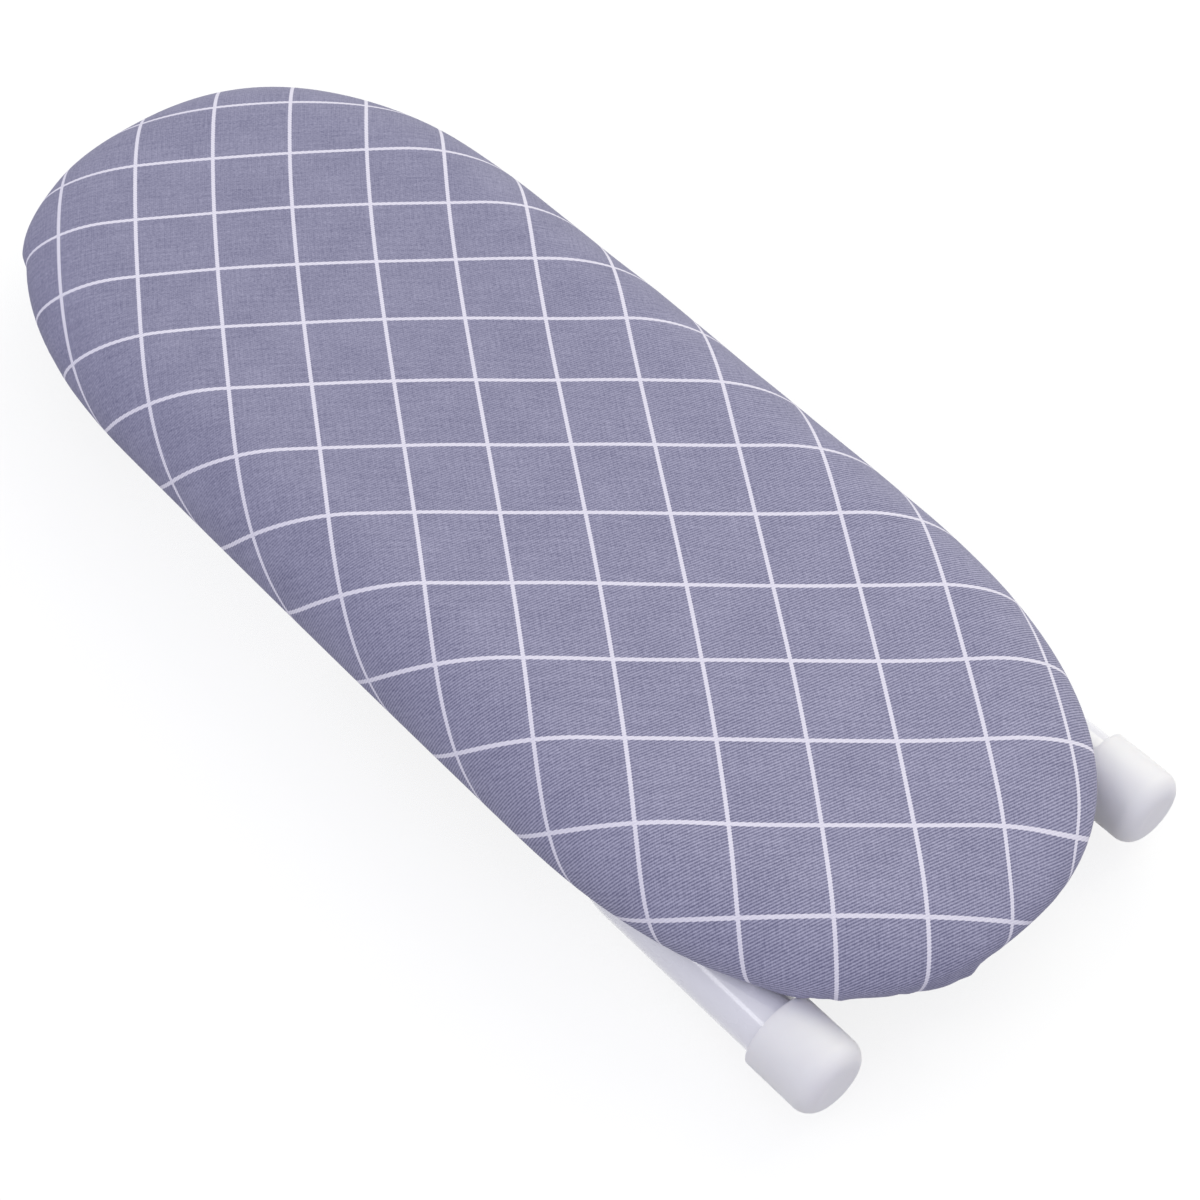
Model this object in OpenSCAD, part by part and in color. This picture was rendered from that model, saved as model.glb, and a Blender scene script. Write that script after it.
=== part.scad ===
// Small table-top ironing board with two folding U-bent legs, shown folded.
// +X points to the end where the near leg's foot caps lie, +Z is up, and the
// origin is under the middle of the board, on the surface that the folded board lies on.

/* [Board] */
// Length over the padding
board_l = 327; // [300:1:400]
// Width over the padding
board_w = 131; // [120:1:160]
// Length of each rounded end
end_l = 92; // [70:1:110]
// Fullness of the rounded ends, where 2 is an ellipse
end_fullness = 2.33; // [2:0.01:2.8]
// Thickness of the deck
deck_t = 5; // [4:0.5:8]
// How far the deck's edge lies inside the edge of the padding
deck_inset = 3.5; // [2.5:0.5:6]

/* [Padding] */
// Height of the crown over the deck, at the middle of the board
crown_h = 17.5; // [15:0.5:24]
// How much lower the crown lies at the two ends
end_drop = 10; // [0:0.5:10]
// How much lower the crown lies at the two sides
side_drop = 0.5; // [0:0.1:3]
// Width of the rounded shoulder, from the crown to the edge
shoulder_w = 21.6; // [12:0.1:28]
// Depth of the board's widest line under the deck's top face
edge_drop = 1.3; // [0.5:0.1:2.5]
// Thickness of the cover's cloth
cover_t = 0.55; // [0.4:0.05:0.8]

/* [Hem] */
// Width of the cloth that turns under the board, up to the hem's inner edge
hem_w = 16.6; // [14:0.1:22]
// Width of the flat elastic in the hem
elastic_w = 4; // [3:0.5:6]
// Thickness of the flat elastic in the hem
elastic_t = 0.6; // [0.4:0.1:0.8]

/* [Legs] */
// Outside diameter of the leg tube
tube_d = 15.4; // [13:0.1:18]
// Wall of the leg tube
tube_wall = 1.2; // [0.8:0.1:2]
// How far the axes of the near leg's two shanks lie inside the board's sides
near_leg_inset = 14.1; // [10:0.1:16]
// How far the axes of the far leg's two shanks lie inside the board's sides
far_leg_inset = 17.5; // [16:0.1:20]
// Radius of the tube's bends, at its centre line
bend_r = 23; // [18:0.5:26]
// Length of a leg, from its hinge axis to the end of its foot caps
leg_l = 88.8; // [70:0.1:100]
// How far the near foot caps end inside the tip of the board
foot_inset = 3.3; // [0:0.1:12]
// Distance of the far hinge axis from the far tip of the board
far_hinge_in = 73.5; // [60:0.5:85]
// Angle of an open leg below the level
open_angle = 97; // [92:1:104]
// Space left between a folded leg and the underside
fold_gap = 0.4; // [0.3:0.1:0.8]

/* [Foot caps] */
// Wall of a foot cap round its tube
cap_wall = 1.9; // [1:0.05:2.5]
// Length of a foot cap
cap_l = 18.4; // [14:0.1:24]
// Thickness of a foot cap's closed end
cap_floor = 3.5; // [2:0.1:5]
// Radius of the rounded edge of a foot cap's closed end
cap_round = 4.4; // [2:0.1:5]

/* [Hinges] */
// Width of a pillow block, along the hinge axis
block_w = 14; // [10:1:16]
// Length of a pillow block, along the board
block_l = 42; // [38:1:50]
// Wall of the upper half over the tube
cradle_wall = 2.05; // [1.5:0.05:3]
// Wall of the lower half under the tube
keeper_wall = 2.65; // [2:0.05:4]
// Width of the flat foot under a lower half
keeper_foot = 13; // [8:1:16]
// Thickness of the lower half's two ears
ear_t = 5; // [4:0.5:6]
// Thickness of the steel hinge plate
plate_t = 1.5; // [1:0.1:2]
// Height of the stop lug over the tube
lug_h = 3.3; // [2.5:0.1:3.5]
// Thickness of the stop lug
lug_t = 4; // [3:0.5:5]

/* [Fasteners] */
// Diameter of the screws
screw_d = 4; // [3:0.5:5]
// Diameter of the screw heads
head_d = 8; // [7:0.5:9]
// Height of the screw heads
head_h = 2.6; // [1.8:0.1:2.8]
// Diameter of a tee nut's flange
nut_flange_d = 12; // [10:0.5:14]
// Thickness of a tee nut's flange
nut_flange_t = 1.2; // [0.8:0.1:1.5]
// Wall of a tee nut's barrel
nut_wall = 0.75; // [0.6:0.05:1]

/* [Clearances] */
// Radial clearance between a tube and the bore it turns or sits in
tube_fit = 0.05; // [0.02:0.01:0.1]
// Radial clearance of a screw in a block, and of a tee nut in the deck
hole_fit = 0.2; // [0.1:0.05:0.4]
// Space between neighbouring soft layers
layer_fit = 0.1; // [0.05:0.05:0.2]

/* [Hidden] */
$fn = 64;
LEFT = -1;
RIGHT = 1;
CLOTH = [0.47, 0.47, 0.60];
WHITE = [0.90, 0.90, 0.93];
NYLON = [0.86, 0.87, 0.88];
STEEL = [0.72, 0.73, 0.75];

// Heights, from the surface under the folded board
tube_r = tube_d / 2;
bore_r = tube_r + tube_fit;
cap_r = bore_r + cap_wall;
axis_z = bore_r + keeper_wall;
plate_z = axis_z + bore_r + cradle_wall;
deck_z = plate_z + plate_t;
deck_top = deck_z + deck_t;
crown_z = deck_top + crown_h;
edge_z = deck_top - edge_drop;
skin_z = deck_z - cover_t - layer_fit / 2;
hem_z = skin_z - elastic_t - layer_fit;

// Places along and across the board
half_l = board_l / 2;
half_w = board_w / 2;
straight_l = half_l - end_l;
near_half = half_w - near_leg_inset;
far_half = half_w - far_leg_inset;
block_y = min(near_half, far_half) - bend_r - block_w / 2 - 1;
lug_w = 2 * (block_y - block_w / 2 - 4);
screw_x = (block_l / 2 + bore_r) / 2;
elastic_in = hem_w - cover_t - layer_fit;
elastic_out = elastic_in - elastic_w;
channel_slope = 1;
channel_out = elastic_out - layer_fit - channel_slope;

// A folded leg rises from its hinge until something meets the underside
skin_room = skin_z - fold_gap - axis_z;
hem_room = hem_z - fold_gap - axis_z;
shank_l = leg_l - cap_l;
near_tilt = asin(min((skin_room - tube_r) / shank_l, (hem_room - tube_r) / (shank_l - hem_w)));
far_tilt = asin((hem_room - cap_r) / leg_l);
near_hinge_x = half_l - foot_inset - leg_l * cos(near_tilt);
far_hinge_x = far_hinge_in - half_l;

// The stop lug meets the hinge plate when its leg is open
stop_gap = 0.15;
lug_r = tube_r + lug_h;
lug_reach = norm([lug_r, lug_t / 2]);
lug_rise = asin((plate_z - axis_z - stop_gap) / lug_reach) - atan2(lug_t / 2, lug_r);
lug_angle = 180 - lug_rise + open_angle;

// Fastener sizes that follow from what they hold
screw_r = screw_d / 2;
screw_tip_gap = 0.1;
screw_z = axis_z - ear_t;
screw_l = deck_top - nut_flange_t - screw_tip_gap - screw_z;
thread_fit = 0.05;
nut_bore_r = screw_r + thread_fit;
nut_barrel_r = nut_bore_r + nut_wall;
nut_barrel_l = deck_t - nut_flange_t - 0.5;

// ---- Outline of the board, and the rings that its soft layers are lofted through ----

arc_steps = 13;
side_steps = 6;

function end_point(t) = [
    straight_l + end_l * pow(cos(t), 2 / end_fullness),
    half_w * pow(sin(t), 2 / end_fullness)];
quarter = [for (i = [0:arc_steps]) end_point(90 * i / arc_steps)];
side = [for (i = [1:side_steps - 1]) [straight_l * (1 - 2 * i / side_steps), half_w]];
half_outline = concat(
    quarter,
    side,
    [for (i = [arc_steps:-1:1]) [-quarter[i].x, quarter[i].y]]);
outline = concat(half_outline, -half_outline);
count = len(outline);

// Unit vector that points into the board at point i of the outline
function inward(i) =
    let (run = outline[(i + 1) % count] - outline[(i + count - 1) % count])
    [-run.y, run.x] / norm(run);
function inset(i, d) = outline[i] + d * inward(i);
function crown(p) = crown_z - end_drop * pow(p.x / half_l, 2) - side_drop * pow(p.y / half_w, 2);

// A ring on the crown, at a share of the way from the middle to the shoulder
function crown_ring(share, off) = [
    for (i = [0:count - 1])
        let (p = share * inset(i, shoulder_w))
        [p.x, p.y, crown(p) - off]];

// A ring on the shoulder, where turn runs from 0 at the crown to 90 at the edge
function shoulder_ring(turn, off) = [
    for (i = [0:count - 1])
        let (d = shoulder_w * (1 - sin(turn)))
        let (top = crown(inset(i, d)))
        let (p = inset(i, d + off * sin(turn)))
        [p.x, p.y, top - (top - edge_z) * (1 - cos(turn)) - off * cos(turn)]];

// A ring where the cover turns under, from 0 at the edge to 90 at the deck's underside
function wrap_ring(turn, off) = [
    for (i = [0:count - 1])
        let (p = inset(i, deck_inset * (1 - cos(turn)) + off * cos(turn)))
        [p.x, p.y, edge_z - (edge_z - skin_z - off) * sin(turn)]];

// A level ring at a distance inside the outline
function level_ring(d, z) = [for (i = [0:count - 1]) let (p = inset(i, d)) [p.x, p.y, z]];

// The upper face of a soft layer, from the middle out to the edge
function upper_rings(off) = concat(
    [for (share = [0.2:0.2:1]) crown_ring(share, off)],
    [for (turn = [18:18:90]) shoulder_ring(turn, off)]);

// Closes a stack of rings with a point in the middle at each end
module lofted(rings, first_z, last_z) {
    n = len(rings);
    points = concat([[0, 0, first_z]], [for (ring = rings) each ring], [[0, 0, last_z]]);
    last = len(points) - 1;
    caps = [for (i = [0:count - 1]) let (j = (i + 1) % count)
        each [[0, 1 + j, 1 + i], [1 + (n - 1) * count + i, 1 + (n - 1) * count + j, last]]];
    walls = [for (k = [0:n - 2]) for (i = [0:count - 1])
        let (a = 1 + k * count + i)
        let (b = 1 + k * count + (i + 1) % count)
        each [[a, b, b + count], [a, b + count, a + count]]];
    polyhedron(points, concat(caps, walls));
}

function reversed(list) = [for (i = [len(list) - 1:-1:0]) list[i]];

// ---- Soft layers ----

module cover() {
    seat_z = deck_z - layer_fit / 2;
    outside = concat(
        upper_rings(0),
        [wrap_ring(30, 0), wrap_ring(60, 0), wrap_ring(90, 0)],
        [level_ring(channel_out, skin_z), level_ring(channel_out + channel_slope, hem_z)],
        [level_ring(hem_w, hem_z), level_ring(hem_w, seat_z)]);
    inside = concat(
        upper_rings(cover_t),
        [wrap_ring(30, cover_t), wrap_ring(60, cover_t), wrap_ring(90, cover_t)],
        [level_ring(channel_out + cover_t, seat_z)],
        [level_ring(channel_out + channel_slope, hem_z + cover_t)],
        [level_ring(hem_w - cover_t, hem_z + cover_t), level_ring(hem_w - cover_t, seat_z)]);
    color(CLOTH)
        lofted(concat(outside, reversed(inside)), crown_z, crown_z - cover_t);
}

module hem_elastic() {
    color("white")
        translate([0, 0, hem_z + cover_t + layer_fit / 2])
            linear_extrude(elastic_t)
                difference() {
                    polygon([for (i = [0:count - 1]) inset(i, elastic_out)]);
                    polygon([for (i = [0:count - 1]) inset(i, elastic_in)]);
                }
}

module foam_pad() {
    off = cover_t + layer_fit;
    lip_turn = 50;
    lip_z = wrap_ring(lip_turn, off)[0].z;
    inner_edge = deck_inset - layer_fit;
    rings = concat(
        upper_rings(off),
        [wrap_ring(lip_turn, off)],
        [level_ring(inner_edge, lip_z), level_ring(inner_edge, deck_top)]);
    color([0.93, 0.91, 0.82])
        lofted(rings, crown_z - off, deck_top);
}

// ---- Deck and what is screwed to it ----

// Repeats its children at the four screws of one hinge
module at_screws(hinge_x) {
    for (x = [-screw_x, screw_x])
        for (y = [-block_y, block_y])
            translate([hinge_x + x, y, 0])
                children();
}

module at_all_screws() {
    at_screws(near_hinge_x)
        children();
    at_screws(far_hinge_x)
        children();
}

module deck() {
    color([0.80, 0.68, 0.50])
        difference() {
            translate([0, 0, deck_z])
                linear_extrude(deck_t)
                    polygon([for (i = [0:count - 1]) inset(i, deck_inset)]);
            at_all_screws() {
                translate([0, 0, deck_z - 1])
                    cylinder(r = nut_barrel_r + hole_fit, h = deck_t + 2);
                translate([0, 0, deck_top - nut_flange_t])
                    cylinder(r = nut_flange_d / 2 + hole_fit, h = nut_flange_t + 1);
            }
        }
}

// A level plate with round corners, centred on the origin
module round_plate(size, corner, h) {
    linear_extrude(h)
        union() {
            square([size.x - 2 * corner, size.y], center = true);
            square([size.x, size.y - 2 * corner], center = true);
            for (x = [-1, 1])
                for (y = [-1, 1])
                    translate([x * (size.x / 2 - corner), y * (size.y / 2 - corner)])
                        circle(corner);
        }
}

module hinge_plate(hinge_x) {
    plate_size = [block_l + 4, 2 * block_y + block_w + 4];
    color(STEEL)
        difference() {
            translate([hinge_x, 0, plate_z])
                round_plate(plate_size, 5, plate_t);
            at_screws(hinge_x)
                translate([0, 0, plate_z - 1])
                    cylinder(r = screw_r + hole_fit, h = plate_t + 2);
        }
}

// The two screw holes and the tube's bore, cut from both halves of a pillow block
module block_cuts() {
    rotate([90, 0, 0])
        cylinder(r = bore_r, h = block_w + 2, center = true);
    for (x = [-screw_x, screw_x])
        translate([x, 0, -axis_z])
            cylinder(r = screw_r + hole_fit, h = 2 * axis_z + cradle_wall);
}

// Upper half of a pillow block, between the hinge plate and the parting line
module cradle(hinge_x, side) {
    color(NYLON)
        translate([hinge_x, side * block_y, axis_z])
            difference() {
                round_plate([block_l, block_w], 3, plate_z - axis_z);
                block_cuts();
            }
}

// Lower half of a pillow block, whose flat foot the folded board lies on
module keeper(hinge_x, side) {
    shell_r = bore_r + keeper_wall;
    color(NYLON)
        translate([hinge_x, side * block_y, axis_z])
            difference() {
                union() {
                    translate([0, 0, -ear_t])
                        round_plate([block_l, block_w], 3, ear_t);
                    rotate([90, 0, 0])
                        linear_extrude(block_w, center = true)
                            intersection() {
                                union() {
                                    circle(shell_r);
                                    translate([-keeper_foot / 2, -shell_r])
                                        square([keeper_foot, shell_r]);
                                }
                                translate([-shell_r, -shell_r])
                                    square([2 * shell_r, shell_r]);
                            }
                }
                block_cuts();
            }
}

module block_screws() {
    dome_r = (head_d * head_d / 4 + head_h * head_h) / (2 * head_h);
    recess_w = head_d / 8;
    color(STEEL)
        at_all_screws()
            translate([0, 0, screw_z]) {
                cylinder(r = screw_r, h = screw_l);
                difference() {
                    intersection() {
                        translate([0, 0, dome_r - head_h])
                            sphere(dome_r);
                        translate([0, 0, -head_h])
                            cylinder(d = head_d, h = head_h);
                    }
                    for (turn = [0, 90])
                        rotate([0, 0, turn])
                            translate([-head_d / 4, -recess_w / 2, -head_h - 1])
                                cube([head_d / 2, recess_w, head_h / 2 + 1]);
                }
            }
}

module tee_nuts() {
    color(STEEL)
        at_all_screws()
            difference() {
                union() {
                    translate([0, 0, deck_top - nut_flange_t])
                        cylinder(d = nut_flange_d, h = nut_flange_t);
                    translate([0, 0, deck_top - nut_flange_t - nut_barrel_l])
                        cylinder(r = nut_barrel_r, h = nut_barrel_l);
                }
                translate([0, 0, deck_z])
                    cylinder(r = nut_bore_r, h = deck_t + 1);
            }
}

// ---- Legs: drawn with the hinge axis along Y at the origin and the shanks along +X ----
// Each leg is given by half the distance between the axes of its two shanks.

module near_leg_place() {
    translate([near_hinge_x, 0, axis_z])
        rotate([0, -near_tilt, 0])
            children();
}

module far_leg_place() {
    translate([far_hinge_x, 0, axis_z])
        rotate([0, -far_tilt, 0])
            children();
}

module tube_section() {
    difference() {
        circle(tube_r);
        circle(tube_r - tube_wall);
    }
}

module leg_tube(leg_half) {
    cross_half = leg_half - bend_r;
    color(WHITE) {
        rotate([90, 0, 0])
            linear_extrude(2 * cross_half, center = true)
                tube_section();
        for (side = [0, 1])
            mirror([0, side, 0]) {
                translate([bend_r, cross_half, 0])
                    rotate([0, 0, 90])
                        rotate_extrude(angle = 90)
                            translate([bend_r, 0])
                                tube_section();
                translate([bend_r, leg_half, 0])
                    rotate([0, 90, 0])
                        linear_extrude(leg_l - cap_floor - bend_r)
                            tube_section();
            }
    }
}

module stop_lug() {
    color(WHITE)
        rotate([0, -lug_angle, 0])
            difference() {
                translate([0, -lug_w / 2, -lug_t / 2])
                    cube([lug_r, lug_w, lug_t]);
                rotate([90, 0, 0])
                    cylinder(r = tube_r, h = lug_w + 2, center = true);
            }
}

module foot_cap(leg_half, side) {
    color(WHITE)
        translate([leg_l - cap_l, side * leg_half, 0])
            rotate([0, 90, 0])
                difference() {
                    rotate_extrude()
                        intersection() {
                            union() {
                                square([cap_r, cap_l - cap_round]);
                                square([cap_r - cap_round, cap_l]);
                                translate([cap_r - cap_round, cap_l - cap_round])
                                    circle(cap_round);
                            }
                            square([cap_r, cap_l]);
                        }
                    translate([0, 0, -1])
                        cylinder(r = bore_r, h = cap_l - cap_floor + 1);
                }
}

cover();
hem_elastic();
foam_pad();
deck();
hinge_plate(near_hinge_x);  // hinge_plate_near
hinge_plate(far_hinge_x);  // hinge_plate_far
cradle(near_hinge_x, LEFT);  // cradle_near_left
cradle(near_hinge_x, RIGHT);  // cradle_near_right
cradle(far_hinge_x, LEFT);  // cradle_far_left
cradle(far_hinge_x, RIGHT);  // cradle_far_right
keeper(near_hinge_x, LEFT);  // keeper_near_left
keeper(near_hinge_x, RIGHT);  // keeper_near_right
keeper(far_hinge_x, LEFT);  // keeper_far_left
keeper(far_hinge_x, RIGHT);  // keeper_far_right
block_screws();
tee_nuts();
near_leg_place() leg_tube(near_half);  // leg_tube_near
near_leg_place() stop_lug();  // stop_lug_near
near_leg_place() foot_cap(near_half, LEFT);  // foot_cap_near_left
near_leg_place() foot_cap(near_half, RIGHT);  // foot_cap_near_right
far_leg_place() leg_tube(far_half);  // leg_tube_far
far_leg_place() stop_lug();  // stop_lug_far
far_leg_place() foot_cap(far_half, LEFT);  // foot_cap_far_left
far_leg_place() foot_cap(far_half, RIGHT);  // foot_cap_far_right
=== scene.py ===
"""Dresses the small table-top ironing board: cotton cover, foam, deck, leg hinges and folding legs."""

import logging
import math
from collections.abc import Iterable, Sequence
from dataclasses import dataclass, field
from enum import Enum
from typing import TypeAlias

import bpy
import numpy as np
from mathutils import Matrix, Vector


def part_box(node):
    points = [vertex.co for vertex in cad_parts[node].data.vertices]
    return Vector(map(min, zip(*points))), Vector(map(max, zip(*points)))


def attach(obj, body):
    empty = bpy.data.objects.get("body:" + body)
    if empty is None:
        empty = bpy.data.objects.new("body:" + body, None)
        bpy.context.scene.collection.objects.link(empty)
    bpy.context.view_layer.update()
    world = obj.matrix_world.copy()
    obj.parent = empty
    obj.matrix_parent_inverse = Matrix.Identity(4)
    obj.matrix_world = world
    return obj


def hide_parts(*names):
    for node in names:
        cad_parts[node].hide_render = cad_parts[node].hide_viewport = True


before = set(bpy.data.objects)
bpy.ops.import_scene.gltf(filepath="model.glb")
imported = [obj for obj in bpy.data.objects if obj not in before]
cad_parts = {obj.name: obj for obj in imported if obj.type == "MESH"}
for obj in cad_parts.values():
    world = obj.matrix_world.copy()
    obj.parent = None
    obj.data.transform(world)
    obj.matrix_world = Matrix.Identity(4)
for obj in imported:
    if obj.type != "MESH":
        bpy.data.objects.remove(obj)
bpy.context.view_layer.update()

MM = 0.001
TINY = 1e-9
WHITE = (1.0, 1.0, 1.0, 1.0)
Point: TypeAlias = tuple[float, float, float]
Colour: TypeAlias = tuple[float, float, float]
ScreenColour: TypeAlias = tuple[int, int, int]
Socket: TypeAlias = bpy.types.NodeSocket
Term: TypeAlias = Socket | float
Source: TypeAlias = Socket | float | tuple

log = logging.getLogger("ironing_board")


# ---- Small helpers -------------------------------------------------------------------------


def shade(colour: ScreenColour) -> tuple[float, float, float, float]:
    """Turns a screen colour into the linear colour that a shader takes.

    Args:
        colour: its red, green and blue parts, each from 0 to 255.

    Returns:
        The linear colour with an alpha of 1.
    """
    parts = [value / 255 for value in colour]
    linear = [p / 12.92 if p <= 0.04045 else ((p + 0.055) / 1.055) ** 2.4 for p in parts]
    return (*linear, 1.0)


def smooth_step(value: np.ndarray, start: float, end: float) -> np.ndarray:
    """Rises smoothly from 0 at start to 1 at end.

    Args:
        value: the numbers to map.
        start: where the result is 0.
        end: where the result is 1.

    Returns:
        The mapped numbers.
    """
    share = np.clip((value - start) / (end - start), 0.0, 1.0)
    return share * share * (3 - 2 * share)


def add_mesh(
    name: str,
    points: np.ndarray,
    faces: Sequence[Sequence[int]],
    coordinates: np.ndarray | None = None,
    layer: str = "checks",
) -> bpy.types.Object:
    """Adds a smooth-shaded mesh object.

    Args:
        name: the piece's name.
        points: one row of x, y, z for each vertex, in metres.
        faces: vertex numbers of each face.
        coordinates: one row of u, v for each vertex, if the finish needs them.
        layer: name of the layer that holds the coordinates.

    Returns:
        The new object, linked to the scene.
    """
    mesh = bpy.data.meshes.new(name)
    mesh.from_pydata(points.tolist(), [], faces)
    if coordinates is not None:
        corners = np.empty(len(mesh.loops), dtype=np.int32)
        mesh.loops.foreach_get("vertex_index", corners)
        uv_layer = mesh.uv_layers.new(name=layer)
        uv_layer.data.foreach_set("uv", coordinates[corners].astype(np.float32).ravel())
    mesh.shade_smooth()
    mesh.update()
    piece = bpy.data.objects.new(name, mesh)
    bpy.context.scene.collection.objects.link(piece)
    return piece


def ring_faces(rings: int, count: int, closed: bool = False) -> list[tuple[int, int, int, int]]:
    """Quads between rings of vertices that lie one after another.

    Args:
        rings: number of rings.
        count: vertices in each ring.
        closed: whether the last ring joins the first one again.

    Returns:
        The quads, whose normals point outward for rings that run from the top down.
    """
    quads = []
    for ring in range(rings if closed else rings - 1):
        here = ring * count
        after = (ring + 1) % rings * count
        for k in range(count):
            turn = (k + 1) % count
            quads.append((here + k, after + k, after + turn, here + turn))
    return quads


def fan_faces(middle: int, first: int, count: int, flip: bool = False) -> list[tuple[int, int, int]]:
    """Triangles from a ring to a vertex in its middle.

    Args:
        middle: number of the vertex in the middle.
        first: number of the ring's first vertex.
        count: vertices in the ring.
        flip: whether the triangles face down.

    Returns:
        The triangles.
    """
    ring = [(first + k, first + (k + 1) % count) for k in range(count)]
    return [(middle, after, here) if flip else (middle, here, after) for here, after in ring]


def facing(place: Point, aim: Point) -> Matrix:
    """Where a camera or lamp at place stands when it looks at aim."""
    look = Vector(aim) - Vector(place)
    return Matrix.Translation(place) @ look.to_track_quat("-Z", "Y").to_matrix().to_4x4()


def steps_to(end: float, count: int, start: float = 0.0) -> np.ndarray:
    """Even steps from start, which is left out, to end."""
    return np.linspace(start, end, count + 1)[1:]


class Ripple:
    """A seeded sum of waves along a closed line, for what no two boards share."""

    def __init__(self, seed: int, waves: int, shortest: float, longest: float, length: float) -> None:
        """Draws the waves.

        Args:
            seed: seed of the random draw.
            waves: how many waves are summed.
            shortest: shortest wavelength in metres.
            longest: longest wavelength in metres.
            length: length of the closed line in metres.
        """
        draw = np.random.default_rng(seed)
        wavelengths = np.exp(draw.uniform(math.log(shortest), math.log(longest), waves))
        self.turns = np.maximum(1, np.round(length / wavelengths))
        self.phases = draw.uniform(0, 2 * math.pi, waves)
        self.length = length
        self.scale = 1 / math.sqrt(waves / 2)

    def at(self, along: np.ndarray) -> np.ndarray:
        """Height of the ripple, with a spread of about 1.

        Args:
            along: distance along the closed line in metres.

        Returns:
            One height for each distance.
        """
        angle = 2 * math.pi * np.outer(along / self.length, self.turns) + self.phases
        return np.sin(angle).sum(axis=1) * self.scale


# ---- Form of the board ---------------------------------------------------------------------


@dataclass(frozen=True)
class Weave:
    """How the checked cotton lies on the board. Its two counts run across the checks' lines.

    Each direction is the angle, in degrees from the board's length, in which its count grows.
    """

    across_angle: float = 57.43
    across_pitch: float = 19.56 * MM
    across_start: float = -0.54
    down_angle: float = -40.98
    down_pitch: float = 20.45 * MM
    down_start: float = -0.107
    # How far the cloth was drawn along the board when it was pulled on
    end_pull: float = 1.7 * MM
    end_spread: float = 3.2 * MM
    shear_pull: float = 2.4 * MM
    corner_pull: float = -1.2 * MM
    # How far it was drawn across the board
    waist_draw: float = -8.5 * MM
    end_draw: float = -0.8 * MM
    end_swing: float = 2.0 * MM
    side_draw: float = -1.15 * MM
    corner_draw: float = 1.0 * MM
    # A tuck at the near tip: how far it draws the cloth across, and where it lies on the flat cloth
    tuck_draw: float = 4.3 * MM
    tuck_place: tuple[float, float] = (166.0 * MM, 20.0 * MM)
    tuck_r: float = 14.0 * MM
    # Past this share of the board's half length or half width the draw stays as it is
    draw_limit: float = 1.1

    def counts(self, flat: np.ndarray, half_l: float, half_w: float) -> np.ndarray:
        """Counts the checks at points of the cloth.

        Args:
            flat: one row of x, y for each point of the cloth, laid flat over the board.
            half_l: half the board's length.
            half_w: half the board's width.

        Returns:
            One row of the two counts for each point; a line lies at each whole number.
        """
        x, y = flat.T
        u = np.clip(x / half_l, -self.draw_limit, self.draw_limit)
        v = np.clip(y / half_w, -self.draw_limit, self.draw_limit)
        along = x + self.end_pull * u**3 + self.end_spread * u * v**2
        along = along + self.shear_pull * u**2 * v + self.corner_pull * u * v
        aside = y + self.waist_draw * u**2 * v + self.end_draw * u**2 + self.end_swing * u**3
        aside = aside + self.side_draw * v**3 + self.corner_draw * u * v
        off = (flat - np.array(self.tuck_place)) / self.tuck_r
        aside = aside + self.tuck_draw * np.exp(-(off**2).sum(axis=1))
        across = math.radians(self.across_angle)
        down = math.radians(self.down_angle)
        return np.column_stack([
            (math.cos(across) * along + math.sin(across) * aside) / self.across_pitch + self.across_start,
            (math.cos(down) * along + math.sin(down) * aside) / self.down_pitch + self.down_start,
        ])


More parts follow.
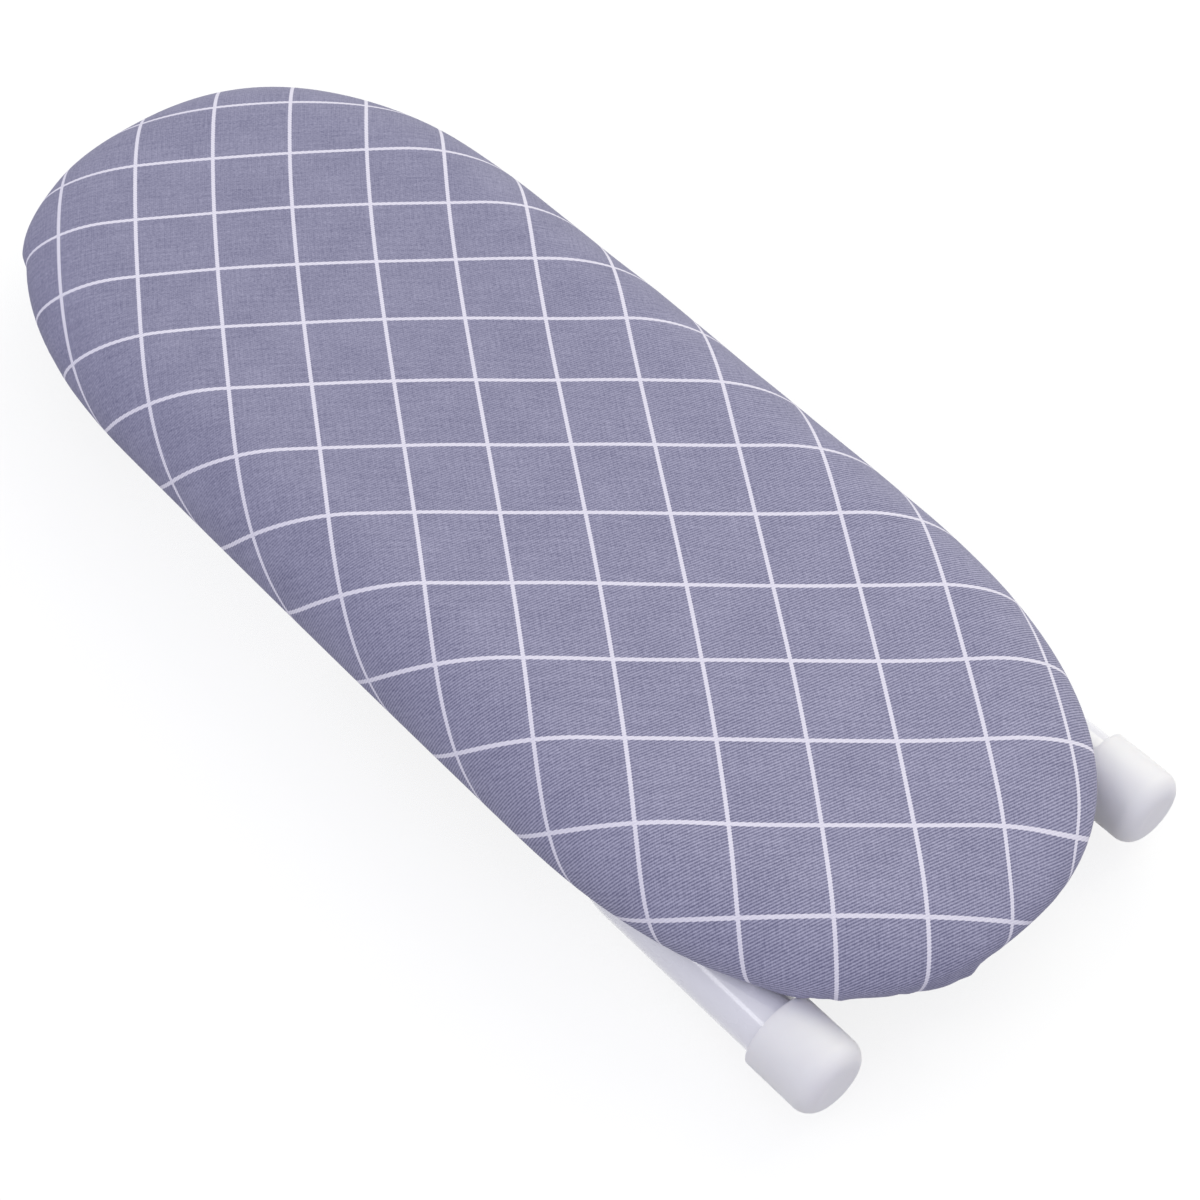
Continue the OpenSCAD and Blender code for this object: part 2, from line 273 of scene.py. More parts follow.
@dataclass
class BoardForm:
    """The rounded form that the foam and its cover share, with the sizes of the CAD source."""

    end_l: float = 92.0 * MM
    end_fullness: float = 2.33
    shoulder_w: float = 21.6 * MM
    end_drop: float = 10.0 * MM
    side_drop: float = 0.5 * MM
    edge_drop: float = 1.3 * MM
    deck_inset: float = 3.5 * MM
    # How far the foam stands out past the sewn size along the left side
    left_sag: float = 0.9 * MM
    sag_l: float = 110.0 * MM
    # Points of a ring, and points that first trace a quarter of the outline
    count: int = 960
    quarter_count: int = 1500

    def __post_init__(self) -> None:
        """Takes the overall sizes from the frame and lays out the outline."""
        low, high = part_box("cover")
        deck_low, deck_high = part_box("deck")
        self.half_l = (high[0] - low[0]) / 2
        self.half_w = (high[1] - low[1]) / 2
        self.crown_z = high[2]
        self.hem_z = low[2]
        self.deck_z = deck_low[2]
        self.deck_top = deck_high[2]
        self.edge_z = self.deck_top - self.edge_drop
        self.outline, self.length = self._outline()
        run = np.roll(self.outline, -1, axis=0) - np.roll(self.outline, 1, axis=0)
        self.inward = np.column_stack([-run[:, 1], run[:, 0]]) / np.hypot(*run.T)[:, None]
        self.along = np.arange(self.count) / self.count * self.length

    def _outline(self) -> tuple[np.ndarray, float]:
        """Points of even spacing along the board's outline.

        Returns:
            The points and the outline's length.
        """
        turn = np.linspace(0, math.pi / 2, self.quarter_count)
        straight = self.half_l - self.end_l
        power = 2 / self.end_fullness
        quarter = np.column_stack([
            straight + self.end_l * np.cos(turn).clip(0) ** power,
            self.half_w * np.sin(turn) ** power,
        ])
        half = np.vstack([quarter, (quarter * [-1, 1])[::-1]])
        line = np.vstack([half, -half, half[:1]])
        step = np.hypot(*np.diff(line, axis=0).T)
        line = line[np.concatenate([[True], step > TINY])]
        reach = np.concatenate([[0], np.cumsum(np.hypot(*np.diff(line, axis=0).T))])
        even = np.arange(self.count) / self.count * reach[-1]
        points = np.column_stack([np.interp(even, reach, axis) for axis in line.T])
        sag = self.left_sag * (1 - (points[:, 0] / self.sag_l) ** 2).clip(0)
        points[:, 1] -= sag * (-points[:, 1] / self.half_w).clip(0) ** 3
        return points, float(reach[-1])

    def inset(self, distance: float | np.ndarray) -> np.ndarray:
        """The outline moved into the board.

        Args:
            distance: how far, one number or one for each point.

        Returns:
            One row of x, y for each point.
        """
        return self.outline + self.inward * np.reshape(distance, (-1, 1))

    def level_ring(self, place: np.ndarray, height: float) -> np.ndarray:
        """A level ring over points of the board."""
        return np.column_stack([place, np.full(self.count, height)])

    def crown(self, place: np.ndarray) -> np.ndarray:
        """Height of the crown over points of the board.

        Args:
            place: one row of x, y for each point.

        Returns:
            One height for each point.
        """
        fall = self.end_drop * (place[:, 0] / self.half_l) ** 2
        return self.crown_z - fall - self.side_drop * (place[:, 1] / self.half_w) ** 2

    def crown_ring(self, share: float, off: float = 0.0) -> np.ndarray:
        """A ring on the crown.

        Args:
            share: share of the way from the middle to the shoulder.
            off: depth under the cover's outer face.

        Returns:
            One row of x, y, z for each point.
        """
        place = share * self.inset(self.shoulder_w)
        return np.column_stack([place, self.crown(place) - off])

    def shoulder_ring(self, turn: float, off: float = 0.0) -> np.ndarray:
        """A ring on the rounded shoulder.

        Args:
            turn: 0 at the crown to a right angle at the edge, in radians.
            off: depth under the cover's outer face.

        Returns:
            One row of x, y, z for each point.
        """
        distance = self.shoulder_w * (1 - math.sin(turn))
        top = self.crown(self.inset(distance))
        height = top - (top - self.edge_z) * (1 - math.cos(turn)) - off * math.cos(turn)
        return np.column_stack([self.inset(distance + off * math.sin(turn)), height])


# ---- Finishes ------------------------------------------------------------------------------


class NodeGraph:
    """A node tree, with short calls for the nodes that the finishes and the studio share."""

    def __init__(self, tree: bpy.types.NodeTree) -> None:
        """Takes the tree that the nodes go into."""
        self.tree = tree

    def add(self, kind: str, **settings: object) -> bpy.types.Node:
        """Adds a node.

        Args:
            kind: the node's type.
            settings: values of its properties.

        Returns:
            The node.
        """
        node = self.tree.nodes.new(kind)
        for key, value in settings.items():
            setattr(node, key, value)
        return node

    def feed(self, target: Socket, source: Source) -> None:
        """Links a socket to another, or sets a plain value on it.

        Args:
            target: the socket that is fed.
            source: the other socket, or the value.
        """
        if isinstance(source, bpy.types.NodeSocket):
            self.tree.links.new(source, target)
        else:
            target.default_value = source

    def fill(self, node: bpy.types.Node, *sources: Source) -> Socket:
        """Feeds a node's sockets in their order.

        Args:
            node: the node.
            sources: what its sockets get.

        Returns:
            The node's first output.
        """
        for socket, source in zip(node.inputs, sources):
            self.feed(socket, source)
        return node.outputs[0]

    def wired(self, kind: str, **sources: Source) -> bpy.types.Node:
        """Adds a node and feeds its sockets by their names.

        Args:
            kind: the node's type.
            sources: what each named socket gets.

        Returns:
            The node.
        """
        node = self.add(kind)
        for name, source in sources.items():
            self.feed(node.inputs[name], source)
        return node

    def math(self, operation: str, first: Term, second: Term = 0.0, third: Term = 0.0) -> Socket:
        """Adds a Math node.

        Args:
            operation: the node's operation.
            first: first term.
            second: second term.
            third: third term.

        Returns:
            The result's socket.
        """
        return self.fill(self.add("ShaderNodeMath", operation=operation), first, second, third)

    def total(self, *terms: Term) -> Socket:
        """Adds terms up.

        Args:
            terms: what is added.

        Returns:
            The sum's socket.
        """
        result = terms[0]
        for term in terms[1:]:
            result = self.math("ADD", result, term)
        return result

    def times(self, first: Term, second: Term) -> Socket:
        """Multiplies two terms."""
        return self.math("MULTIPLY", first, second)

    def scaled(self, value: Term, factor: Term, start: float) -> Socket:
        """A value times a factor, counted from start."""
        return self.math("MULTIPLY_ADD", value, factor, start)

    def wave(self, phase: Term) -> Socket:
        """A wave from 0 to 1 that is at 1 where phase is a whole number."""
        return self.scaled(self.math("COSINE", self.times(phase, 2 * math.pi)), 0.5, 0.5)

    def between(
        self,
        value: Term,
        low: float,
        high: float,
        to_low: float = 0.0,
        to_high: float = 1.0,
    ) -> Socket:
        """Maps a value smoothly from one range to another.

        Args:
            value: what is mapped.
            low: where the result is to_low.
            high: where the result is to_high.
            to_low: result at low.
            to_high: result at high.

        Returns:
            The result's socket.
        """
        node = self.add("ShaderNodeMapRange", interpolation_type="SMOOTHSTEP")
        return self.fill(node, value, low, high, to_low, to_high)

    def place(self) -> Socket:
        """The point's own place on the object, in metres."""
        return self.add("ShaderNodeTexCoord").outputs["Object"]

    def parts(self, place: Socket) -> Sequence[Socket]:
        """The parts of a place along x, y and z."""
        return self.wired("ShaderNodeSeparateXYZ", Vector=place).outputs

    def stretched(self, place: Socket, x: float, y: float, z: float = 1.0) -> Socket:
        """A place with each of its parts scaled."""
        return self.fill(self.add("ShaderNodeVectorMath", operation="MULTIPLY"), place, (x, y, z))

    def noise(self, place: Socket, scale: float, detail: float = 2.0, roughness: float = 0.5) -> Socket:
        """Soft noise from 0 to 1.

        Args:
            place: where it is read.
            scale: how fine it is, for each unit of place.
            detail: how many finer layers it has.
            roughness: how strong those layers are.

        Returns:
            The noise's socket.
        """
        sources = {"Vector": place, "Scale": scale, "Detail": detail, "Roughness": roughness}
        return self.wired("ShaderNodeTexNoise", **sources).outputs[0]

    def blend(self, share: Term, first: Source, second: Source) -> Socket:
        """Mixes two colours.

        Args:
            share: 0 for the first colour to 1 for the second.
            first: first colour.
            second: second colour.

        Returns:
            The mixed colour's socket.
        """
        node = self.add("ShaderNodeMix", data_type="RGBA")
        for socket, source in zip((node.inputs[0], node.inputs[6], node.inputs[7]), (share, first, second)):
            self.feed(socket, source)
        return node.outputs[2]

    def mixed(self, share: Term, first: Socket, second: Socket) -> Socket:
        """Mixes two shaders, from all of the first at 0 to all of the second at 1."""
        return self.fill(self.add("ShaderNodeMixShader"), share, first, second)

    def seen(self) -> Socket:
        """Tells what is seen from light.

        Returns:
            The socket of 1 for what the camera, a mirror or a glass sees directly, and 0 for light.
        """
        rays = self.add("ShaderNodeLightPath").outputs
        mirrored = self.math("MAXIMUM", rays["Is Camera Ray"], rays["Is Glossy Ray"])
        return self.math("MAXIMUM", mirrored, rays["Is Transmission Ray"])


class FinishGraph(NodeGraph):
    """The node tree of a finish, with short calls for what its shader takes."""

    def __init__(self, name: str) -> None:
        """Starts a material.

        Args:
            name: the material's name.
        """
        self.material = bpy.data.materials.new(name)
        self.material.use_nodes = True
        super().__init__(self.material.node_tree)
        self.shader = self.tree.nodes["Principled BSDF"]

    def shader_values(self, **values: float | tuple) -> None:
        """Sets plain values on the shader, whose sockets are named with underscores here."""
        for key, value in values.items():
            self.shader.inputs[key.replace("_", " ").title().replace("Ior", "IOR")].default_value = value

    def paint(self, share: Term, first: ScreenColour, second: ScreenColour) -> None:
        """Colours the surface, from the first colour where share is 0 to the second where it is 1."""
        self.feed(self.shader.inputs["Base Color"], self.blend(share, shade(first), shade(second)))

    def rough(self, roughness: Socket) -> None:
        """Gives the surface its roughness."""
        self.feed(self.shader.inputs["Roughness"], roughness)

    def soft_edge(self, radius: float) -> Socket:
        """A normal that rounds the sharp edges to a radius in metres."""
        return self.fill(self.add("ShaderNodeBevel", samples=4), radius)

    def relief(self, height: Socket, depth: float, strength: float, under: Socket | None = None) -> None:
        """Turns a height into a bumped normal and gives it to the shader.

        Args:
            height: height from 0 to 1.
            depth: depth in metres that a height of 1 stands for.
            strength: how much of it shows.
            under: normal of a coarser relief, if there is one.
        """
        node = self.wired("ShaderNodeBump", Height=height, Distance=depth, Strength=strength)
        if under is not None:
            self.feed(node.inputs["Normal"], under)
        self.feed(self.shader.inputs["Normal"], node.outputs[0])


# The fineness of a finish's pattern is a count for each metre, unless a comment says otherwise.


@dataclass(frozen=True)
class CheckedCotton:
    """Fine three-end cotton twill in greyed blue with a windowpane check of thin white lines."""

    name: str = "checked_cotton_twill"
    dark_yarn: ScreenColour = (112, 111, 140)
    light_yarn: ScreenColour = (186, 184, 209)
    line: ScreenColour = (243, 240, 252)
    line_shadow: ScreenColour = (210, 205, 225)
    # Width of a line and softness of its edge, as shares of a check
    line_w: float = 0.047
    line_soft: float = 0.004
    # Upright and level yarns in each check
    ends: float = 39.3
    picks: float = 89.6
    # The nap is raised towards the far end, which softens the wales there
    soft_wale: float = 0.1
    soft_end: float = -0.13
    crisp_from: float = 0.14

    def material(self) -> bpy.types.Material:
        """Builds the twill from counts of the checks, so that it follows every fold.

        Returns:
            The material.
        """
        g = FinishGraph(self.name)
        counts = g.add("ShaderNodeUVMap", uv_map="checks").outputs[0]
        across, down = g.parts(counts)[:2]

        # Wales and the beads of single yarns, which sway and break a little
        end, pick = g.times(across, self.ends), g.times(down, self.picks)
        sway = g.noise(counts, 5.0, 3.0)
        wale = g.wave(g.total(g.times(g.total(end, pick), 1 / 3), g.times(sway, 0.3)))
        bead = g.wave(end)
        broken = g.noise(g.stretched(counts, 0.7 * self.ends, 0.36 * self.picks), 1.0, 2.0, 0.6)
        along_board = g.parts(g.place())[0]
        crisp = g.between(along_board, self.soft_end, self.crisp_from, self.soft_wale, 1.0)
        woven = g.total(g.times(g.math("SUBTRACT", wale, 0.5), g.times(crisp, 0.74)), g.times(bead, 0.08))
        woven = g.total(woven, g.times(broken, g.scaled(crisp, 0.22, 0.76)), -0.08)

        # Thick and thin yarns, and a slow unevenness of the dye
        level_slub = g.noise(g.stretched(counts, 1.8, 0.25 * self.picks), 1.0, 2.0, 0.6)
        upright_slub = g.noise(g.stretched(counts, 1.1 * self.ends, 2.2), 1.0, 2.0, 0.6)
        slub = g.total(g.times(level_slub, 0.4), g.times(upright_slub, 0.4), -0.40)
        cloud = g.scaled(g.noise(counts, 1.3, 3.0), 0.24, -0.12)
        tone = g.total(woven, slub, cloud)
        ground = g.blend(tone, shade(self.dark_yarn), shade(self.light_yarn))

        # White yarns of the check's lines
        ragged = g.scaled(wale, -0.005, 0.0025)
        edge = self.line_w / 2
        masks = []
        for count in (across, down):
            gap = g.total(g.math("PINGPONG", count, 0.5), ragged)
            masks.append(g.between(gap, edge + self.line_soft, edge - self.line_soft))
        rope = g.total(g.times(wale, 0.5), g.times(broken, 0.6), 0.1)
        line = g.blend(rope, shade(self.line_shadow), shade(self.line))
        g.feed(g.shader.inputs["Base Color"], g.blend(g.math("MAXIMUM", *masks), ground, line))

        g.rough(g.scaled(tone, -0.12, 0.92))
        g.shader_values(sheen_weight=0.12, sheen_roughness=0.45, specular_ior_level=0.25)
        g.relief(g.total(g.times(wale, 0.7), g.times(bead, 0.15), g.times(broken, 0.3)), 0.08 * MM, 0.4)
        return g.material


@dataclass(frozen=True)
class PowderCoat:
    """Smooth glossy powder coat over steel tube, with the faint unevenness of a baked coat."""

    name: str = "white_powder_coat"
    colour: ScreenColour = (240, 239, 246)
    worn: ScreenColour = (234, 233, 241)
    cloud: float = 90.0
    scuffs: tuple[float, float, float] = (220.0, 900.0, 900.0)
    orange_peel: float = 900.0

    def material(self) -> bpy.types.Material:
        """Builds the coat.

        Returns:
            The material.
        """
        g = FinishGraph(self.name)
        place = g.place()
        cloud = g.noise(place, self.cloud, 3.0)
        g.paint(cloud, self.colour, self.worn)
        scuffs = g.between(g.noise(g.stretched(place, *self.scuffs), 1.0), 0.62, 0.72, 0.0, 0.12)
        g.rough(g.total(g.times(cloud, 0.10), scuffs, 0.22))
        g.shader_values(specular_ior_level=0.5, coat_weight=1.0, coat_roughness=0.08)
        g.relief(g.noise(place, self.orange_peel, 1.0), 0.02 * MM, 0.35)
        return g.material


@dataclass(frozen=True)
class MilkyPlastic:
    """Soft white plastic of the foot caps, satin and slightly see-through."""

    name: str = "milky_foot_plastic"
    colour: ScreenColour = (250, 247, 249)
    cooler: ScreenColour = (245, 241, 246)
    cloud: float = 160.0
    grain: float = 2600.0

    def material(self) -> bpy.types.Material:
        """Builds the plastic.

        Returns:
            The material.
        """
        g = FinishGraph(self.name)
        place = g.place()
        g.paint(g.noise(place, self.cloud, 3.0), self.colour, self.cooler)
        grain = g.noise(place, self.grain)
        g.rough(g.total(g.times(grain, 0.12), 0.38))
        g.shader_values(
            subsurface_weight=0.6,
            subsurface_radius=(1.0, 0.95, 0.9),
            subsurface_scale=3.0 * MM,
            specular_ior_level=0.42,
        )
        g.relief(grain, 0.03 * MM, 0.25)
        return g.material


@dataclass(frozen=True)
class MouldedNylon:
    """White nylon of the pillow blocks, with a fine spark-eroded grain and rounded edges."""

    name: str = "moulded_nylon"
    colour: ScreenColour = (226, 227, 228)
    handled: ScreenColour = (206, 206, 205)
    dust: float = 60.0
    grain: float = 3200.0

    def material(self) -> bpy.types.Material:
        """Builds the nylon.

        Returns:
            The material.
        """
        g = FinishGraph(self.name)
        place = g.place()
        g.paint(g.between(g.noise(place, self.dust, 5.0, 0.6), 0.4, 0.8), self.colour, self.handled)
        grain = g.noise(place, self.grain, 3.0)
        g.rough(g.total(g.times(grain, 0.2), 0.42))
        g.shader_values(subsurface_weight=0.15, subsurface_scale=1.2 * MM)
        g.relief(grain, 0.05 * MM, 0.4, g.soft_edge(0.5 * MM))
        return g.material


@dataclass(frozen=True)
class ZincPlate:
    """Bright zinc over sheet steel, with crystals, faint rolling lines and a rounded edge."""

    name: str = "zinc_plated_steel"
    bright: ScreenColour = (214, 217, 221)
    dull: ScreenColour = (182, 187, 194)
    crystal: float = 260.0
    rolling: tuple[float, float, float] = (60.0, 2600.0, 2600.0)

    def material(self) -> bpy.types.Material:
        """Builds the plating.

        Returns:
            The material.
        """
        g = FinishGraph(self.name)
        place = g.place()
        crystals = g.wired("ShaderNodeTexVoronoi", Vector=place, Scale=self.crystal)
        tint = g.math("FRACT", g.times(crystals.outputs["Color"], 3.0))
        rolled = g.noise(g.stretched(place, *self.rolling), 1.0)
        tone = g.total(g.times(tint, 0.6), g.times(rolled, 0.4))
        g.paint(tone, self.dull, self.bright)
        g.rough(g.total(g.times(tone, 0.18), 0.26))
        g.shader_values(metallic=1.0)
        g.relief(rolled, 0.02 * MM, 0.3, g.soft_edge(0.3 * MM))
        return g.material


@dataclass(frozen=True)
class Fibreboard:
    """Bare pressed fibreboard with fine fibres and darker specks."""

    name: str = "pressed_fibreboard"
    pale: ScreenColour = (203, 174, 134)
    dark: ScreenColour = (168, 134, 96)
    fibres: tuple[float, float, float] = (900.0, 2600.0, 2600.0)
    cloud: float = 40.0
    specks: float = 1500.0

    def material(self) -> bpy.types.Material:
        """Builds the board.

        Returns:
            The material.
        """
        g = FinishGraph(self.name)
        place = g.place()
        fibres = g.noise(g.stretched(place, *self.fibres), 1.0, 4.0, 0.7)
        cloud = g.noise(place, self.cloud, 4.0, 0.6)
        specks = g.between(g.noise(place, self.specks), 0.66, 0.74)
        tone = g.total(g.times(fibres, 0.6), g.times(cloud, 0.5), g.times(specks, 0.5), -0.1)
        g.paint(tone, self.pale, self.dark)
        g.rough(g.total(g.times(fibres, 0.2), 0.7))
        g.relief(g.total(fibres, specks), 0.05 * MM, 0.5)
        return g.material


@dataclass(frozen=True)
class OpenFoam:
    """Cream polyurethane foam with open pores, whose hollows are painted darker as their shade."""

    name: str = "open_cell_foam"
    cream: ScreenColour = (238, 231, 208)
    # Darker colour painted into the pores' hollows as their shade
    painted_pore_shade: ScreenColour = (205, 194, 162)
    pores: float = 900.0

    def material(self) -> bpy.types.Material:
        """Builds the foam.

        Returns:
            The material.
        """
        g = FinishGraph(self.name)
        pores = g.wired("ShaderNodeTexVoronoi", Vector=g.place(), Scale=self.pores)
        # Painted shade: the low parts of the relief, between the cells, get the darker pore colour
        depth = g.between(pores.outputs["Distance"], 0.1, 0.55)
        g.paint(depth, self.cream, self.painted_pore_shade)
        g.shader_values(roughness=0.95)
        g.relief(g.math("SUBTRACT", 1.0, depth), 0.3 * MM, 0.8)
        return g.material


@dataclass(frozen=True)
class BraidedElastic:
    """White flat elastic with ribs along it, and shade painted grey into the grooves between them."""

    name: str = "braided_elastic"
    colour: ScreenColour = (236, 236, 236)
    # Grey painted into the grooves as their shade
    painted_groove_shade: ScreenColour = (196, 196, 200)
    # Ribs side by side over the band's width, and turns of the plait in each metre of it
    ribs: float = 6.0
    plait: float = 900.0

    def material(self) -> bpy.types.Material:
        """Builds the elastic.

        Returns:
            The material.
        """
        g = FinishGraph(self.name)
        along, aside = g.parts(g.add("ShaderNodeUVMap", uv_map="band").outputs[0])[:2]
        rib = g.wave(g.times(aside, self.ribs))
        plait = g.wave(g.total(g.times(along, self.plait), g.times(rib, 0.5)))
        height = g.total(g.times(rib, 0.6), g.times(plait, 0.4))
        # Painted shade: the low parts of the ribs and plait are coloured grey
        g.paint(height, self.painted_groove_shade, self.colour)
        g.shader_values(roughness=0.8, sheen_weight=0.2)
        g.relief(height, 0.1 * MM, 0.6)
        return g.material


@dataclass(frozen=True)
class SewingThread:
    """Twisted cotton thread."""

    name: str = "sewing_thread"
    colour: ScreenColour = (222, 220, 233)
    shadow: ScreenColour = (182, 180, 200)
    twist: float = 4200.0

    def material(self) -> bpy.types.Material:
        """Builds the thread.

        Returns:
            The material.
        """
        g = FinishGraph(self.name)
        twist = g.noise(g.place(), self.twist)
        g.paint(twist, self.colour, self.shadow)
        g.shader_values(roughness=0.75, sheen_weight=0.2)
        g.relief(twist, 0.05 * MM, 0.5)
        return g.material


def dress(nodes: Iterable[str], material: bpy.types.Material) -> None:
    """Gives CAD nodes a finish and reports each of them.

    Args:
        nodes: the nodes' names.
        material: the finish.
    """
    for node in nodes:
        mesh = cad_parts[node].data
        mesh.materials.clear()
        mesh.materials.append(material)
        log.info("%s: %s", node, material.name)


# ---- Padded top ----------------------------------------------------------------------------


@dataclass(frozen=True)
class Fold:
    """A fuller fold of the cloth, steeper on the side that comes later along the outline.

    Its place is counted along the outline from the near tip, and its length is its steeper side's.
    """

    place: float
    length: float
    depth: float


@dataclass
class Cover:
    """The cotton cover: crown, rounded shoulder, and the hem that gathers under the deck."""

    form: BoardForm
    weave: Weave = field(default_factory=Weave)
    cloth_t: float = 0.45 * MM
    skin_gap: float = 0.1 * MM
    hem_w: float = 16.6 * MM
    channel_w: float = 5.8 * MM
    # Over this length the cloth comes down to the hem's channel
    channel_slope: float = 1.0 * MM
    turned_in: float = 5.0 * MM
    # Radius of the hem's turned edge, which is also half the way between its two layers
    fold_r: float = 0.35 * MM
    pleat_pitch: float = 7.5 * MM
    pleat_limit: float = 1.5 * MM
    # Share of the pleats' depth at the deck's edge, where the gathers begin, and how they deepen
    pleat_start: float = 0.1
    pleat_growth: float = 0.8
    # How far the pleats stray from an even pitch and size, and how round their valleys are
    pleat_drift: float = 0.55
    pleat_spread: float = 0.35
    pleat_sizes: tuple[float, float] = (0.3, 1.35)
    valley: float = 0.015
    # How far the crests lean over, as a share of the pitch
    crest_lean: float = 0.16
    # Share of a rounded end, from its tip, that has its pleats in full
    full_share: float = 0.55
    # What a folded foot cap takes of the pleats' depth, within how many of its radii, and from where
    leg_share: float = 0.65
    leg_radii: tuple[float, float] = (0.85, 1.35)
    leg_from: float = 40.0 * MM
    # Folds that hang down under the near tip, the last one to the left foot cap
    folds: tuple[Fold, ...] = (
        Fold(-15.8 * MM, 6.2 * MM, 2.9 * MM),
        Fold(-45.0 * MM, 3.0 * MM, 0.6 * MM),
        Fold(-54.0 * MM, 4.0 * MM, 1.5 * MM),
    )
    # A fold that stands out at the board's edge
    edge_fold: Fold = Fold(-348.8 * MM, 7.5 * MM, 1.3 * MM)
    # Half the width of a fold's crest and the reach of its gentler side, as shares of its length
    fold_crest: float = 0.2
    fold_reach: float = 3.0
    # Share of a hanging fold's depth that has gone by the hem
    fold_fade: float = 0.75
    # How closely the fold that stands out keeps to the edge, as a power
    fold_sharpness: int = 8
    # Rises and hollows of the padding: how many waves, how long, how high, and over what height
    # above the board's edge they set in
    swells: int = 14
    swell_l: tuple[float, float] = (24.0 * MM, 70.0 * MM)
    swell_h: float = 0.05 * MM
    swell_edge: float = 8.0 * MM
    crown_rows: int = 44
    shoulder_rows: int = 30
    wrap_rows: int = 10
    under_rows: int = 14
    fold_rows: int = 5
    turned_rows: int = 3

    def __post_init__(self) -> None:
        """Draws the pleats and measures the cloth down to the deck's underside."""
        form = self.form
        self.skin_z = form.deck_z - self.cloth_t - self.skin_gap
        self.base = form.inset(form.shoulder_w)
        drift = Ripple(seed=7, waves=9, shortest=18 * MM, longest=90 * MM, length=form.length)
        size = Ripple(seed=11, waves=7, shortest=14 * MM, longest=60 * MM, length=form.length)
        whole = round(form.length / self.pleat_pitch)
        self.pleat_phase = whole * form.along / form.length + self.pleat_drift * drift.at(form.along)
        self.pleat_size = 1 + self.pleat_spread * size.at(form.along)
        self.bend = self._bend()
        self.room = self._leg_room()
        self.hanging = sum(self._depth_of(fold) for fold in self.folds)
        self.standing = self._depth_of(self.edge_fold)

    def _bend(self) -> np.ndarray:
        """How round the outline is.

        Returns:
            One share for each outline point, from 0 on the straight sides to 1 at the ends.
        """
        form = self.form
        full = form.half_l - self.full_share * form.end_l
        return smooth_step(np.abs(form.outline[:, 0]), form.half_l - form.end_l, full)

    def _leg_room(self) -> np.ndarray:
        """How much room the folded near leg leaves the pleats.

        Returns:
            Share of their depth that is left, for each outline point.
        """
        low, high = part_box("foot_cap_near_right")
        middle, reach = (low[1] + high[1]) / 2, (high[1] - low[1]) / 2
        place = self.form.inset(self.hem_w / 2)
        beside = np.abs(np.abs(place[:, 1]) - middle)
        near, far = self.leg_radii
        over_leg = 1 - smooth_step(beside, reach * near, reach * far)
        return 1 - self.leg_share * over_leg * smooth_step(place[:, 0], 0.0, self.leg_from)

    def _depth_of(self, fold: Fold) -> np.ndarray:
        """How far a fold stands out along the outline.

        Args:
            fold: the fold.

        Returns:
            One distance for each outline point.
        """
        around = self.form.length
        off = (self.form.along - fold.place + around / 2) % around - around / 2
        crest = self.fold_crest * fold.length
        late = 1 - smooth_step(off, crest, fold.length)
        return fold.depth * late * smooth_step(off, -self.fold_reach * fold.length, -crest)

    def pleats(self, share: float) -> np.ndarray:
        """How far the gathered cloth hangs off the deck.

        Args:
            share: 0 at the board's edge to 1 at the hem.

        Returns:
            One distance for each outline point.
        """
        crest = np.sqrt(np.cos(math.pi * self.pleat_phase) ** 2 + self.valley)
        size = self.pleat_size.clip(*self.pleat_sizes)
        deep = self.pleat_limit * share**self.pleat_growth * self.bend * size
        hanging = self.hanging * min(1.0, share / self.pleat_start) * (1 - self.fold_fade * share)
        return 2 * deep * crest * self.room + hanging

    def lean(self, share: float) -> np.ndarray:
        """How far the crests lean over along the hem.

        Args:
            share: 0 at the board's edge to 1 at the hem.

        Returns:
            One row of x, y for each outline point.
        """
        along = np.column_stack([-self.form.inward[:, 1], self.form.inward[:, 0]])
        size = self.crest_lean * self.pleat_pitch * share * self.bend * np.sin(2 * math.pi * self.pleat_phase)
        return along * (size * self.room)[:, None]

    def under_ring(self, distance: float, lift: float = 0.0) -> np.ndarray:
        """A ring of the cloth under the deck.

        Args:
            distance: how far inside the outline it lies.
            lift: how far it lies over the cloth's lower face.

        Returns:
            One row of x, y, z for each point.
        """
        form = self.form
        share = min(1.0, max(0.0, (distance - form.deck_inset) / (self.hem_w - form.deck_inset)))
        into_channel = (distance - (self.hem_w - self.channel_w - self.channel_slope)) / self.channel_slope
        level = self.skin_z - (self.skin_z - form.hem_z) * min(1.0, max(0.0, into_channel))
        share_full = self.pleat_start + (1 - self.pleat_start) * share
        place = form.inset(distance) + self.lean(share_full)
        return np.column_stack([place, level - self.pleats(share_full) + lift])

    def _wrap_z(self, turn: float) -> float:
        """Height of the ungathered cloth as it turns under the deck's edge."""
        return self.form.edge_z - (self.form.edge_z - self.skin_z) * math.sin(turn)

    def wrap_ring(self, turn: float) -> np.ndarray:
        """A ring where the cloth turns under the deck's edge.

        Args:
            turn: 0 at the board's edge to a right angle under the deck, in radians.

        Returns:
            One row of x, y, z for each point.
        """
        form = self.form
        share = self.pleat_start * math.sin(turn) ** 2
        out = (self.pleats(share) + self.standing) * math.cos(turn)
        distance = form.deck_inset * (1 - math.cos(turn)) - out
        place = form.inset(distance) + self.lean(share)
        return np.column_stack([place, self._wrap_z(turn) - self.pleats(share) * math.sin(turn)])

    def rows(self) -> tuple[list[np.ndarray], list[np.ndarray]]:
        """Rings of the cloth from the crown to the turned-in edge of the hem.

        Returns:
            The rings' points, and where each point lies on the flat cloth.
        """
        form = self.form
        points, flat = [], []
        for share in steps_to(1.0, self.crown_rows):
            points.append(form.crown_ring(share))
            flat.append(share * self.base)
